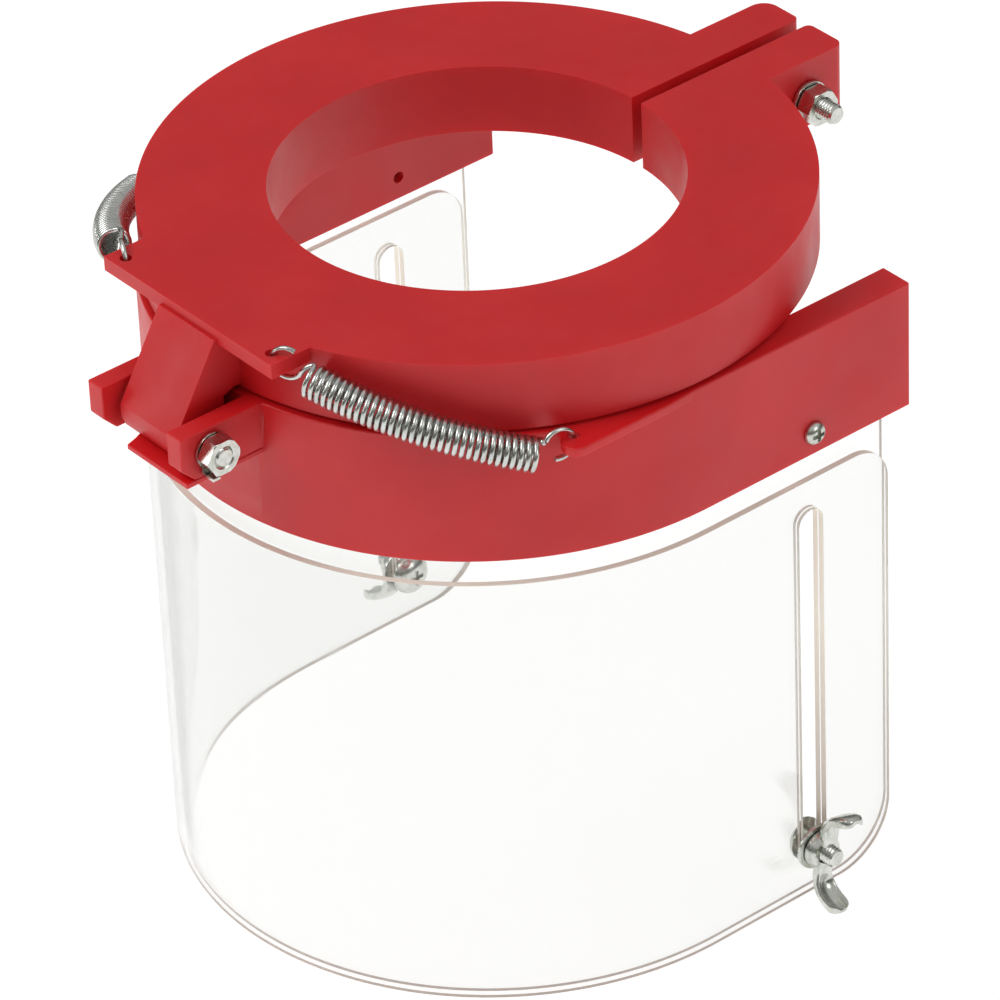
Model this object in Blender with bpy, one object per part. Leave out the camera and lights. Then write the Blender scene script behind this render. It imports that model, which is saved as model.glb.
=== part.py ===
"""Drill-press chuck guard: a split clamp collar, a hinged bracket and two telescoping clear shields.

Frame: origin on the bore axis at the collar's top face, +Z up, -Y towards the operator (hinge side).
Lengths below are millimetres; MM turns them into metres.
"""
import math

import bmesh
import bpy
from mathutils import Matrix, Vector

MM = 0.001

# Clamp collar
BORE_RADIUS = 57.5
COLLAR_RADIUS = 93.3
COLLAR_HEIGHT = 21.2
GAP_HALF_WIDTH = 2.0
LUG_SIDE = 16.6
LUG_END = 119.9
LUG_CORNERS = {-1: 5.0, 1: 3.0}
GAP_CORNER = 2.0
FLANGE_SIDES = (-37.2, 35.4)
FLANGE_FRONT = -99.5
FLANGE_THICKNESS = 4.4
SPRING_HOLE_RADIUS = 1.7
FLANGE_HOLES = {-1: (-32.5, -95.6), 1: (30.6, -95.6)}
CLAMP_AXIS = (106.0, -12.5)

# Hinge
HINGE_AXIS = (-109.8, -29.0)
HINGE_HOLE_RADIUS = 3.06
ARM_SIDE = 12.0
EAR_INNER = 14.1
EAR_OUTER = 20.2
EAR_FRONT = -119.7
ARM_PROFILE = (
    (-80, -3.0),
    (-100.4, -3.0),
    (-115.4, -28.0),
    (-115.4, -32.0),
    (-114.0, -35.2),
    (-111.5, -36.4),
    (-102.0, -36.4),
    (-98.6, -32.0),
    (-98.6, -21.5),
    (-95.0, -20.0),
    (-80, -20.0),
)
HINGE_TIP = 26.4
HINGE_HEAD_RADIUS = 5.3
HINGE_WASHER_RADIUS = 5.4
HINGE_WASHER_THICKNESS = 0.8
HINGE_NUT_HEIGHT = 4.6
# Bent tab of the hinge washer, from the axis: its two sides in Y, its faces in Z, its outer end in X
TAB_SIDES = (-3.8, -1.4)
TAB_FACES = (-6.4, -5.6)
TAB_END = 25.6
TAB_OVERLAP = 1.5

# Bracket
BRACKET_TOP = -22.2
BRACKET_BOTTOM = -62.2
BRACKET_SIDE = 94.4
BRACKET_FRONT = 95.2
BRACKET_WALL = 10.5
LEG_END = 73.1
EAR_BOTTOM = -36.7
LIP_THICKNESS = 1.6
LIP_OUTLINE = (
    (EAR_OUTER, -90),
    (EAR_OUTER, -118.4),
    (-6.0, -118.4),
    (-7.0, -115.0),
    (-9.0, -110.5),
    (-12.0, -105.0),
    (-13.0, -90),
)
LUG_PLATE = 2.8
LUG_OUTLINE = (
    (88.0, -5.0),
    (94.4, -5.0),
    (95.0, -14.0),
    (95.0, -43.0),
    (94.2, -45.4),
    (91.6, -46.8),
    (88.8, -46.2),
    (85.2, -43.4),
    (78.0, -40.0),
)
LUG_HOLE = (88.6, -41.4)
GROOVE_TOP = -45.5
LEG_SCREW = (37.7, -55.0)
LEG_SCREW_RADIUS = 1.45
LEG_SCREW_HOLE_RADIUS = 1.8

# Shields
SHEET = 2.0
OUTER_SHIELD_RADIUS = 94.9
INNER_SHIELD_RADIUS = 92.5
SHIELD_END = 64.4
# The left legs of both shields lean inwards by this much, from this Y to the bend's end
LEFT_INSET = 3.5
INSET_START = -60.0
OUTER_TOP = -69.6
OUTER_BOTTOM = -210.2
INNER_TOP = -46.0
INNER_BOTTOM = -209.2
CENTRE_Y = -0.5
SLOT_Y = 36.0
SLOT_HALF_WIDTH = 4.4
SLOT_TOP = -79.6
SLIDE_SCREW_Z = -194.5
SLOT_BOTTOM = SLIDE_SCREW_Z - SLOT_HALF_WIDTH - 0.3
BOTTOM_CORNER = 19.0
OUTER_TOP_CORNER = 12.0
SLIDE_TIP = 104.2

# Fasteners: 6 mm thread, 3 mm thread in the legs
THREAD_RADIUS = 3.0
NUT_CORNER_RADIUS = 5.75
NUT_HEIGHT = 5.0
WASHER_RADIUS = 6.0
SLIDE_WASHER_RADIUS = 7.0
WASHER_THICKNESS = 1.2
HEAD_HEIGHT = 4.0
TIP_CHAMFER = 0.6
CLAMP_TIP = 29.0
FIT = 0.3

# Wing nut: half profile of one wing as (distance from the axis, height above the base)
WING_PROFILE = (
    (3.8, 0.3),
    (8.2, 0.2),
    (10.2, 0.6),
    (12.2, 2.9),
    (14.0, 6.3),
    (15.1, 9.4),
    (15.4, 11.4),
    (14.8, 12.8),
    (13.6, 12.6),
    (12.4, 10.6),
    (10.4, 8.0),
    (8.2, 5.9),
    (6.5, 5.2),
    (3.8, 5.0),
)
WING_HALF_THICKNESS = 2.6
WING_LEAN = 12
HUB_RADIUS = 5.6
HUB_TOP_RADIUS = 4.6
HUB_HEIGHT = 3.4

# Springs: one entry for each side, the pairs from the flange's end to the bracket's end
WIRE_RADIUS = 0.75
COIL_RADIUS = 4.3
COIL_STEPS = 8
COIL_TURNS = {-1: 33, 1: 34}
COIL_STANDOFFS = {-1: (7.2, 7.2), 1: (5.6, 7.4)}
COIL_ANGLES = {-1: (-62.0, -31.0), 1: (-66.1, -31.0)}
COIL_HEIGHTS = {-1: (-5.8, -21.8), 1: (-6.2, -25.0)}
HOOK_RADIUS = 4.5

CIRCLE = 72
# Cutters run this far past the faces they cut
OVERRUN = 5.0
# Joined blocks stop this far short of a flush face
SETBACK = 0.002


def arc(centre_x, centre_y, radius_x, radius_y, start, end, steps):
    """Points of an elliptical arc from start to end, in degrees."""
    angles = [math.radians(start + (end - start) * i / steps) for i in range(steps + 1)]
    return [(centre_x + radius_x * math.cos(a), centre_y + radius_y * math.sin(a)) for a in angles]


def circle(radius, steps, centre=(0.0, 0.0)):
    return arc(centre[0], centre[1], radius, radius, 0, 360, steps)[:-1]


def prism(outline, low, high, axis="Z"):
    """A closed bmesh: the outline extruded along an axis. X outlines are (y, z), Z outlines are (x, y)."""
    shape = bmesh.new()
    if axis == "Z":
        points = [Vector((u, v, low)) for u, v in outline]
        travel = Vector((0, 0, high - low))
    else:
        points = [Vector((low, u, v)) for u, v in outline]
        travel = Vector((high - low, 0, 0))
    base = shape.faces.new([shape.verts.new(p * MM) for p in points])
    result = bmesh.ops.extrude_face_region(shape, geom=[base])
    moved = [item for item in result["geom"] if isinstance(item, bmesh.types.BMVert)]
    bmesh.ops.translate(shape, vec=travel * MM, verts=moved)
    bmesh.ops.recalc_face_normals(shape, faces=shape.faces)
    return shape


def turned(profile, axis_point, steps=24):
    """A closed bmesh: (x, radius) profile turned about the line along X through axis_point (y, z)."""
    shape = bmesh.new()
    rings = []
    for x, radius in profile:
        ring = [
            shape.verts.new(Vector((x, axis_point[0] + u, axis_point[1] + v)) * MM)
            for u, v in circle(radius, steps)
        ]
        rings.append(ring)
    for first, second in zip(rings, rings[1:]):
        for i in range(steps):
            j = (i + 1) % steps
            shape.faces.new((first[i], first[j], second[j], second[i]))
    shape.faces.new(rings[0])
    shape.faces.new(rings[-1])
    bmesh.ops.recalc_face_normals(shape, faces=shape.faces)
    return shape


def rod(radius, low, high, axis_point, steps=24):
    """A plain cylinder along X."""
    return turned([(low, radius), (high, radius)], axis_point, steps)


def material(name, colour, roughness, metallic, alpha=1.0):
    found = bpy.data.materials.new(name)
    found.use_nodes = True
    shader = found.node_tree.nodes["Principled BSDF"]
    shader.inputs["Base Color"].default_value = (*colour, 1.0)
    shader.inputs["Roughness"].default_value = roughness
    shader.inputs["Metallic"].default_value = metallic
    shader.inputs["Alpha"].default_value = alpha
    return found


def add_object(name, shape, finish):
    mesh = bpy.data.meshes.new(name)
    shape.to_mesh(mesh)
    shape.free()
    mesh.materials.append(finish)
    mesh.shade_smooth()
    mesh.set_sharp_from_angle(angle=math.radians(35))
    part = bpy.data.objects.new(name, mesh)
    bpy.context.scene.collection.objects.link(part)
    return part


def add_cutter(name, shape):
    mesh = bpy.data.meshes.new(name)
    shape.to_mesh(mesh)
    shape.free()
    cutter = bpy.data.objects.new(name, mesh)
    cutter.hide_render = True
    cutter.display_type = "WIRE"
    bpy.context.scene.collection.objects.link(cutter)
    return cutter


def combine(part, operation, tools):
    """Join or cut the part with each tool in turn."""
    for tool in tools:
        step = part.modifiers.new(f"{operation.lower()} {tool.name}", "BOOLEAN")
        step.operation = operation
        step.solver = "EXACT"
        step.object = tool
        tool.parent = part


def set_origin(part, point):
    """Move the object's origin to a point, leaving its geometry and its cutters where they are."""
    target = Vector(point) * MM
    part.data.transform(Matrix.Translation(-target))
    part.location = target
    for cutter in part.children:
        cutter.location = -target


def u_outline(radius_x, radius_y, thickness, end):
    """Plan outline of a U-shaped wall, open towards +Y."""
    outer = arc(0, CENTRE_Y, radius_x, radius_y, 180, 360, CIRCLE // 2)
    inner = arc(0, CENTRE_Y, radius_x - thickness, radius_y - thickness, 360, 180, CIRCLE // 2)
    return [(-radius_x, end)] + outer + [(radius_x, end), (radius_x - thickness, end)] + inner + [
        (-radius_x + thickness, end)
    ]


def sheet_outline(radius, thickness, end):
    """Plan outline of a shield or of its groove: a U whose left leg eases inwards."""
    outline = []
    for x, y in u_outline(radius, radius, thickness, end):
        t = min(1.0, max(0.0, (y - INSET_START) / (CENTRE_Y - INSET_START)))
        inset = LEFT_INSET * t * t * (3 - 2 * t) if x < 0 else 0.0
        outline.append((x + inset, y))
    return outline


def beside(side, distance):
    """X of a point on the shields' fastenings: the left ones follow the left leg inwards."""
    return distance if side > 0 else LEFT_INSET - distance


def collar_outline():
    """Split ring with its two clamp lugs, in plan."""
    gap_angle = math.degrees(math.asin(GAP_HALF_WIDTH / BORE_RADIUS))
    lug_angle = math.degrees(math.asin(LUG_SIDE / COLLAR_RADIUS))
    gap_x = GAP_HALF_WIDTH + GAP_CORNER
    gap_y = LUG_END - GAP_CORNER
    right, left = LUG_CORNERS[1], LUG_CORNERS[-1]
    outline = arc(gap_x, gap_y, GAP_CORNER, GAP_CORNER, 180, 90, 3)
    outline += arc(LUG_SIDE - right, LUG_END - right, right, right, 90, 0, 4)
    outline += arc(0, 0, COLLAR_RADIUS, COLLAR_RADIUS, 90 - lug_angle, lug_angle - 270, CIRCLE)
    outline += arc(left - LUG_SIDE, LUG_END - left, left, left, 180, 90, 4)
    outline += arc(-gap_x, gap_y, GAP_CORNER, GAP_CORNER, 90, 0, 3)
    outline += arc(0, 0, BORE_RADIUS, BORE_RADIUS, gap_angle - 270, 90 - gap_angle, CIRCLE)
    return outline


def hexagon(centre):
    return circle(NUT_CORNER_RADIUS, 6, centre)


def clamp_collar(finish):
    collar = add_object("clamp_collar", prism(collar_outline(), -COLLAR_HEIGHT, 0), finish)
    flange = [
        (FLANGE_SIDES[0], FLANGE_FRONT),
        (FLANGE_SIDES[1], FLANGE_FRONT),
        (FLANGE_SIDES[1], -80),
        (FLANGE_SIDES[0], -80),
    ]
    combine(collar, "UNION", [
        add_cutter("flange_block", prism(flange, -FLANGE_THICKNESS, -SETBACK)),
        add_cutter("arm_block", prism(ARM_PROFILE, -ARM_SIDE, ARM_SIDE, "X")),
    ])
    reach = LUG_SIDE + OVERRUN
    holes = [
        add_cutter("hinge_bore", rod(HINGE_HOLE_RADIUS, -reach, reach, HINGE_AXIS)),
        add_cutter("clamp_bore", rod(THREAD_RADIUS + FIT, -reach, reach, CLAMP_AXIS)),
    ]
    for side, centre in FLANGE_HOLES.items():
        hole = prism(circle(SPRING_HOLE_RADIUS, 12, centre), -FLANGE_THICKNESS - OVERRUN, OVERRUN)
        holes.append(add_cutter(f"flange_hole_{side}", hole))
    combine(collar, "DIFFERENCE", holes)
    return collar


def hinge_bracket(finish):
    plan = u_outline(BRACKET_SIDE, BRACKET_FRONT, BRACKET_WALL, LEG_END)
    bracket = add_object("hinge_bracket", prism(plan, BRACKET_BOTTOM, BRACKET_TOP), finish)
    ear = [
        (-90, BRACKET_TOP),
        (EAR_FRONT, BRACKET_TOP),
        (EAR_FRONT, -32.2),
        (-115.4, EAR_BOTTOM),
        (-90, EAR_BOTTOM),
    ]
    lip = prism(LIP_OUTLINE, EAR_BOTTOM - LIP_THICKNESS, EAR_BOTTOM + SETBACK)
    additions = [add_cutter("lip_block", lip)]
    for side in (-1, 1):
        low, high = sorted((side * EAR_INNER, side * EAR_OUTER))
        additions.append(add_cutter(f"ear_block_{side}", prism(ear, low, high, "X")))
        spring_lug = [(side * x, y) for x, y in LUG_OUTLINE]
        plate = prism(spring_lug, BRACKET_TOP - LUG_PLATE, BRACKET_TOP - SETBACK)
        additions.append(add_cutter(f"spring_lug_{side}", plate))
    combine(bracket, "UNION", additions)
    groove_radius = INNER_SHIELD_RADIUS + FIT
    groove = sheet_outline(groove_radius, SHEET + 2 * FIT, SHIELD_END + FIT)
    reach = EAR_OUTER + OVERRUN
    seat_radius = HINGE_HEAD_RADIUS + FIT
    seat = [
        (-reach, seat_radius),
        (-EAR_OUTER, seat_radius),
        (-EAR_OUTER + seat_radius - HINGE_HOLE_RADIUS, HINGE_HOLE_RADIUS),
        (reach, HINGE_HOLE_RADIUS),
    ]
    cuts = [
        add_cutter("shield_groove", prism(groove, BRACKET_BOTTOM - OVERRUN, GROOVE_TOP)),
        add_cutter("ear_bore", turned(seat, HINGE_AXIS)),
    ]
    leg_outer = BRACKET_SIDE + OVERRUN
    leg_inner = BRACKET_SIDE - BRACKET_WALL - OVERRUN
    for side in (-1, 1):
        hole = rod(LEG_SCREW_HOLE_RADIUS, side * leg_inner, side * leg_outer, LEG_SCREW, 12)
        cuts.append(add_cutter(f"leg_screw_hole_{side}", hole))
        outline = circle(SPRING_HOLE_RADIUS, 12, (side * LUG_HOLE[0], LUG_HOLE[1]))
        hole = prism(outline, BRACKET_TOP - LUG_PLATE - OVERRUN, BRACKET_TOP + OVERRUN)
        cuts.append(add_cutter(f"lug_hole_{side}", hole))
    combine(bracket, "DIFFERENCE", cuts)
    set_origin(bracket, (0, *HINGE_AXIS))
    return bracket


def side_profile(top, bottom, corner_top, reach):
    """Side view (y, z) of a shield: it keeps what lies inside, with its two back corners rounded."""
    steps = 8
    outline = [(-reach, bottom), (-reach, top)]
    if corner_top:
        centre = (SHIELD_END - corner_top, top - corner_top)
        outline += arc(*centre, corner_top, corner_top, 90, 0, steps)
    else:
        outline += [(SHIELD_END, top)]
    centre = (SHIELD_END - BOTTOM_CORNER, bottom + BOTTOM_CORNER)
    return outline + arc(*centre, BOTTOM_CORNER, BOTTOM_CORNER, 0, -90, steps)


def slot_outline():
    """Vertical slot with round ends, in side view."""
    upper = arc(SLOT_Y, SLOT_TOP - SLOT_HALF_WIDTH, SLOT_HALF_WIDTH, SLOT_HALF_WIDTH, 0, 180, 8)
    lower = arc(SLOT_Y, SLOT_BOTTOM + SLOT_HALF_WIDTH, SLOT_HALF_WIDTH, SLOT_HALF_WIDTH, 180, 360, 8)
    return upper + lower


def shield(name, radius, top, bottom, corner_top, finish):
    reach = radius + OVERRUN
    sheet = add_object(name, prism(sheet_outline(radius, SHEET, SHIELD_END), bottom, top), finish)
    keep = prism(side_profile(top + SETBACK, bottom - SETBACK, corner_top, reach), -reach, reach, "X")
    combine(sheet, "INTERSECT", [add_cutter(f"{name}_corners", keep)])
    holes = [add_cutter(f"{name}_slots", prism(slot_outline(), -reach, reach, "X"))]
    if top > LEG_SCREW[1]:
        screw_holes = rod(LEG_SCREW_HOLE_RADIUS, -reach, reach, LEG_SCREW, 12)
        holes.append(add_cutter(f"{name}_screw_holes", screw_holes))
    combine(sheet, "DIFFERENCE", holes)
    set_origin(sheet, (0, 0, top))
    return sheet


def ring(name, low, high, outline, inner, axis_point, finish):
    """A washer or nut lying across X, with a round hole."""
    part = add_object(name, prism(outline, low, high, "X"), finish)
    hole = rod(inner, low - OVERRUN, high + OVERRUN, axis_point)
    combine(part, "DIFFERENCE", [add_cutter(f"{name}_hole", hole)])
    return part


def washer(name, low, high, radius, axis_point, finish):
    low, high = sorted((low, high))
    return ring(name, low, high, circle(radius, 24, axis_point), THREAD_RADIUS + FIT, axis_point, finish)


def hinge_washer(low, high, finish):
    """Washer with a tab that runs out from its rim and is bent outwards under the nut."""
    plate = washer("hinge_washer", low, high, HINGE_WASHER_RADIUS, HINGE_AXIS, finish)
    y, z = HINGE_AXIS
    near, far = (y + offset for offset in TAB_SIDES)
    outer, inner = (z + offset for offset in TAB_FACES)
    low_edge, high_edge = outer + SETBACK, inner + TAB_OVERLAP
    strip = [(near, low_edge), (far, low_edge), (far, high_edge), (near, high_edge)]
    bent = [(near, outer), (far, outer), (far, inner), (near, inner)]
    combine(plate, "UNION", [
        add_cutter("tab_strip", prism(strip, low + SETBACK, high - SETBACK, "X")),
        add_cutter("tab_bent", prism(bent, low + 2 * SETBACK, TAB_END, "X")),
    ])


def hex_nut(name, low, high, axis_point, finish):
    return ring(name, low, high, hexagon(axis_point), THREAD_RADIUS + FIT, axis_point, finish)


def hex_bolt(name, head_face, tip, axis_point, finish):
    """A hexagon bolt along X. Its head's bearing face is at head_face and its shank ends at tip."""
    bolt = add_object(name, prism(hexagon(axis_point), head_face - HEAD_HEIGHT, head_face, "X"), finish)
    shank = [
        (head_face - HEAD_HEIGHT / 2, THREAD_RADIUS),
        (tip - TIP_CHAMFER, THREAD_RADIUS),
        (tip, THREAD_RADIUS - TIP_CHAMFER),
    ]
    combine(bolt, "UNION", [add_cutter(f"{name}_shank", turned(shank, axis_point))])
    return bolt


def hinge_bolt(finish):
    """Countersunk bolt, flush in the left ear."""
    face = -EAR_OUTER
    profile = [
        (face, HINGE_HEAD_RADIUS),
        (face + HINGE_HEAD_RADIUS - THREAD_RADIUS, THREAD_RADIUS),
        (HINGE_TIP - TIP_CHAMFER, THREAD_RADIUS),
        (HINGE_TIP, THREAD_RADIUS - TIP_CHAMFER),
    ]
    return add_object("hinge_bolt", turned(profile, HINGE_AXIS), finish)


def leg_screw(name, side, finish):
    """Pan-head screw through one leg of the bracket and the inner shield's edge."""
    face = BRACKET_SIDE + 0.2
    profile = [
        (face + 2.1, 1.6),
        (face + 1.7, 2.6),
        (face + 0.9, 3.2),
        (face, 3.4),
        (face, LEG_SCREW_RADIUS),
        (BRACKET_SIDE - BRACKET_WALL + 2.5, LEG_SCREW_RADIUS),
    ]
    screw = add_object(name, turned([(side * x, r) for x, r in profile], LEG_SCREW, 16), finish)
    set_origin(screw, (side * face, *LEG_SCREW))
    return screw


def slide_screw(name, side, finish):
    """Round-head screw from inside the inner shield, out through both slots."""
    face = INNER_SHIELD_RADIUS - SHEET - FIT
    profile = [
        (face - 3.8, 2.6),
        (face - 3.0, 4.6),
        (face - 1.6, 5.8),
        (face, 6.2),
        (face, THREAD_RADIUS),
        (SLIDE_TIP - TIP_CHAMFER, THREAD_RADIUS),
        (SLIDE_TIP, THREAD_RADIUS - TIP_CHAMFER),
    ]
    axis_point = (SLOT_Y, SLIDE_SCREW_Z)
    screw = add_object(name, turned([(beside(side, x), r) for x, r in profile], axis_point), finish)
    set_origin(screw, (beside(side, face), *axis_point))
    return screw


def wing(origin, side, direction):
    """One wing as a closed plate in a plane through the axis, leaning a little from vertical."""
    lean = math.radians(WING_LEAN)
    along = Vector((0, math.sin(lean), math.cos(lean))) * direction
    across = Vector((0, math.cos(lean), -math.sin(lean)))
    shape = bmesh.new()
    loops = []
    for offset in (-WING_HALF_THICKNESS, WING_HALF_THICKNESS):
        points = [origin + along * r + across * offset + Vector((side * h, 0, 0)) for r, h in WING_PROFILE]
        loops.append([shape.verts.new(point * MM) for point in points])
    shape.faces.new(loops[0])
    shape.faces.new(loops[1])
    count = len(WING_PROFILE)
    for i in range(count):
        j = (i + 1) % count
        shape.faces.new((loops[0][i], loops[0][j], loops[1][j], loops[1][i]))
    bmesh.ops.recalc_face_normals(shape, faces=shape.faces)
    return shape


def wing_nut(name, side, finish):
    """Wing nut on a slide screw: a tapered hub with two wings that lean outwards."""
    axis_point = (SLOT_Y, SLIDE_SCREW_Z)
    base = OUTER_SHIELD_RADIUS + WASHER_THICKNESS + 2 * FIT
    hub = [
        (beside(side, base), HUB_RADIUS),
        (beside(side, base + 1.5), HUB_RADIUS),
        (beside(side, base + HUB_HEIGHT), HUB_TOP_RADIUS),
    ]
    nut = add_object(name, turned(hub, axis_point), finish)
    origin = Vector((beside(side, base), *axis_point))
    wings = [add_cutter(f"{name}_wing_{turn}", wing(origin, side, turn)) for turn in (-1, 1)]
    combine(nut, "UNION", wings)
    start = beside(side, base - OVERRUN)
    end = beside(side, base + HUB_HEIGHT + OVERRUN)
    bore = rod(THREAD_RADIUS + 0.06, start, end, axis_point)
    combine(nut, "DIFFERENCE", [add_cutter(f"{name}_thread", bore)])
    set_origin(nut, origin)
    return nut


def between(pair, t):
    return pair[0] + (pair[1] - pair[0]) * t


def spring_axis(side, count):
    """Centre line of a spring's coil, bowed round the collar from the flange down to the bracket's lug."""
    line = []
    for i in range(count):
        t = i / (count - 1)
        a = math.radians(between(COIL_ANGLES[side], t))
        radius = COLLAR_RADIUS + between(COIL_STANDOFFS[side], t)
        height = between(COIL_HEIGHTS[side], t)
        line.append(Vector((side * radius * math.cos(a), radius * math.sin(a), height)))
    return line


def hook(hole, to_coil, start, end):
    """Points of a round hook that passes through a hole; angle 0 faces the coil, 180 is in the hole."""
    centre = hole + to_coil * HOOK_RADIUS
    angles = [math.radians(start + (end - start) * i / 12) for i in range(13)]
    return [centre + HOOK_RADIUS * (to_coil * math.cos(a) + Vector((0, 0, math.sin(a)))) for a in angles]


def level(vector):
    return Vector((vector.x, vector.y, 0)).normalized()


def spring_route(side):
    """Centre line of the whole wire, from the flange hook through the coil to the bracket hook."""
    centre = spring_axis(side, COIL_TURNS[side] * COIL_STEPS + 1)
    coil = []
    for i, point in enumerate(centre):
        ahead = (centre[min(i + 1, len(centre) - 1)] - centre[max(i - 1, 0)]).normalized()
        across = ahead.cross(Vector((0, 0, 1))).normalized()
        above = across.cross(ahead)
        turn = 2 * math.pi * i / COIL_STEPS
        coil.append(point + COIL_RADIUS * (above * math.cos(turn) + across * math.sin(turn) * side))
    flange = Vector((*FLANGE_HOLES[side], -FLANGE_THICKNESS / 2))
    lug = Vector((side * LUG_HOLE[0], LUG_HOLE[1], BRACKET_TOP - LUG_PLATE / 2))
    flange_hook = hook(flange, level(centre[0] - flange), -300, -25)
    lug_hook = hook(lug, level(centre[-1] - lug), 30, 288)
    return flange_hook + coil + lug_hook


def spring(name, side, finish):
    """Tension spring: one wire, swept as a four-sided tube."""
    route = spring_route(side)
    sides = 4
    shape = bmesh.new()
    rings = []
    normal = Vector((0, 0, 1))
    for i, point in enumerate(route):
        ahead = (route[min(i + 1, len(route) - 1)] - route[max(i - 1, 0)]).normalized()
        normal = (normal - ahead * normal.dot(ahead)).normalized()
        other = ahead.cross(normal)
        rings.append([
            shape.verts.new((point + WIRE_RADIUS * (normal * u + other * v)) * MM)
            for u, v in circle(1.0, sides)
        ])
    for first_ring, second_ring in zip(rings, rings[1:]):
        for i in range(sides):
            j = (i + 1) % sides
            shape.faces.new((first_ring[i], first_ring[j], second_ring[j], second_ring[i]))
    shape.faces.new(rings[0])
    shape.faces.new(rings[-1])
    bmesh.ops.recalc_face_normals(shape, faces=shape.faces)
    part = add_object(name, shape, finish)
    set_origin(part, (*FLANGE_HOLES[side], 0))
    return part


def build():
    for old in list(bpy.data.objects):
        bpy.data.objects.remove(old, do_unlink=True)
    red = material("red_plastic", (0.55, 0.02, 0.02), 0.4, 0.0)
    clear = material("clear_sheet", (0.96, 0.95, 0.93), 0.05, 0.0, 0.25)
    zinc = material("zinc_steel", (0.72, 0.72, 0.70), 0.3, 1.0)
    spring_steel = material("spring_steel", (0.62, 0.63, 0.62), 0.28, 1.0)

    clamp_collar(red)
    hinge_bracket(red)
    shield("inner_shield", INNER_SHIELD_RADIUS, INNER_TOP, INNER_BOTTOM, 0, clear)
    shield("outer_shield", OUTER_SHIELD_RADIUS, OUTER_TOP, OUTER_BOTTOM, OUTER_TOP_CORNER, clear)

    start = LUG_SIDE + FIT
    end = start + WASHER_THICKNESS
    washer("clamp_washer_nut", start, end, WASHER_RADIUS, CLAMP_AXIS, zinc)
    washer("clamp_washer_head", -start, -end, WASHER_RADIUS, CLAMP_AXIS, zinc)
    hex_nut("clamp_nut", end + FIT, end + FIT + NUT_HEIGHT, CLAMP_AXIS, zinc)
    hex_bolt("clamp_bolt", -end - FIT, CLAMP_TIP, CLAMP_AXIS, zinc)

    start = EAR_OUTER + FIT
    end = start + HINGE_WASHER_THICKNESS
    hinge_washer(start, end, zinc)
    hex_nut("hinge_nut", end + FIT, end + FIT + HINGE_NUT_HEIGHT, HINGE_AXIS, zinc)
    hinge_bolt(zinc)

    start = OUTER_SHIELD_RADIUS + FIT
    end = start + WASHER_THICKNESS
    for label, side in (("left", -1), ("right", 1)):
        leg_screw(f"leg_screw_{label}", side, zinc)
        slide_screw(f"slide_screw_{label}", side, zinc)
        axis_point = (SLOT_Y, SLIDE_SCREW_Z)
        low, high = beside(side, start), beside(side, end)
        washer(f"slide_washer_{label}", low, high, SLIDE_WASHER_RADIUS, axis_point, zinc)
        wing_nut(f"wing_nut_{label}", side, zinc)
        spring(f"spring_{label}", side, spring_steel)


build()
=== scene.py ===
"""Drill-press chuck guard: the fine surfaces, materials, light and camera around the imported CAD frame.

Frame: origin on the bore axis at the collar's top face, +Z up, -Y towards the operator.
Lengths are millimetres; MM turns them into metres.
"""
import math

import bmesh
import bpy
from mathutils import Matrix, Vector

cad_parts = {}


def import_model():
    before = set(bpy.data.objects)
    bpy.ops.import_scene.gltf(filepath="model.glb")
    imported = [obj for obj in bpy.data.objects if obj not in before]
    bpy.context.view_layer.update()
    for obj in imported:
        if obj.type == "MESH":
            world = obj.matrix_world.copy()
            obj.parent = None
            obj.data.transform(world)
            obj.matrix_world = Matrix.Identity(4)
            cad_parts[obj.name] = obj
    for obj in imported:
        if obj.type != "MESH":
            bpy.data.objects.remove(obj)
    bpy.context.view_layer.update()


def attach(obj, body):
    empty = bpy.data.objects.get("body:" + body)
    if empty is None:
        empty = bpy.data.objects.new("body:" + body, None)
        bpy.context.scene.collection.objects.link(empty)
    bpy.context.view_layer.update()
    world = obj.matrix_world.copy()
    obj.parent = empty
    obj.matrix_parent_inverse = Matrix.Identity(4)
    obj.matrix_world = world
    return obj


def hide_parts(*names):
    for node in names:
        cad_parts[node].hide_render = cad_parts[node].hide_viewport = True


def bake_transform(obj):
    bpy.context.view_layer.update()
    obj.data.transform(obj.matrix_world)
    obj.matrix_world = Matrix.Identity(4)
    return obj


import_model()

MM = 0.001

# Clamp collar
BORE_RADIUS = 57.5
COLLAR_RADIUS = 93.3
COLLAR_HEIGHT = 21.2
GAP_HALF_WIDTH = 2.0
LUG_SIDE = 16.6
LUG_END = 119.9
LUG_CORNERS = {-1: 5.0, 1: 3.0}
GAP_CORNER = 2.0
FLANGE_SIDES = (-37.2, 35.4)
FLANGE_FRONT = -99.5
FLANGE_ROOT = -80.0
FLANGE_THICKNESS = 4.4
SPRING_HOLE_RADIUS = 1.7
FLANGE_HOLES = {-1: (-32.5, -95.6), 1: (30.6, -95.6)}
CLAMP_AXIS = (106.0, -12.5)

# Hinge
HINGE_AXIS = (-109.8, -29.0)
HINGE_HOLE_RADIUS = 3.06
ARM_SIDE = 12.0
EAR_INNER = 14.1
EAR_OUTER = 20.2
EAR_FRONT = -119.7
ARM_PROFILE = (
    (FLANGE_ROOT, -3.0),
    (-100.4, -3.0),
    (-115.4, -28.0),
    (-115.4, -32.0),
    (-114.0, -35.2),
    (-111.5, -36.4),
    (-102.0, -36.4),
    (-98.6, -32.0),
    (-98.6, -21.5),
    (-95.0, -20.0),
    (FLANGE_ROOT, -20.0),
)
HINGE_TIP = 26.4
HINGE_HEAD_RADIUS = 5.3
HINGE_WASHER_RADIUS = 5.4
HINGE_WASHER_THICKNESS = 0.8
HINGE_NUT_HEIGHT = 4.6
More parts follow.
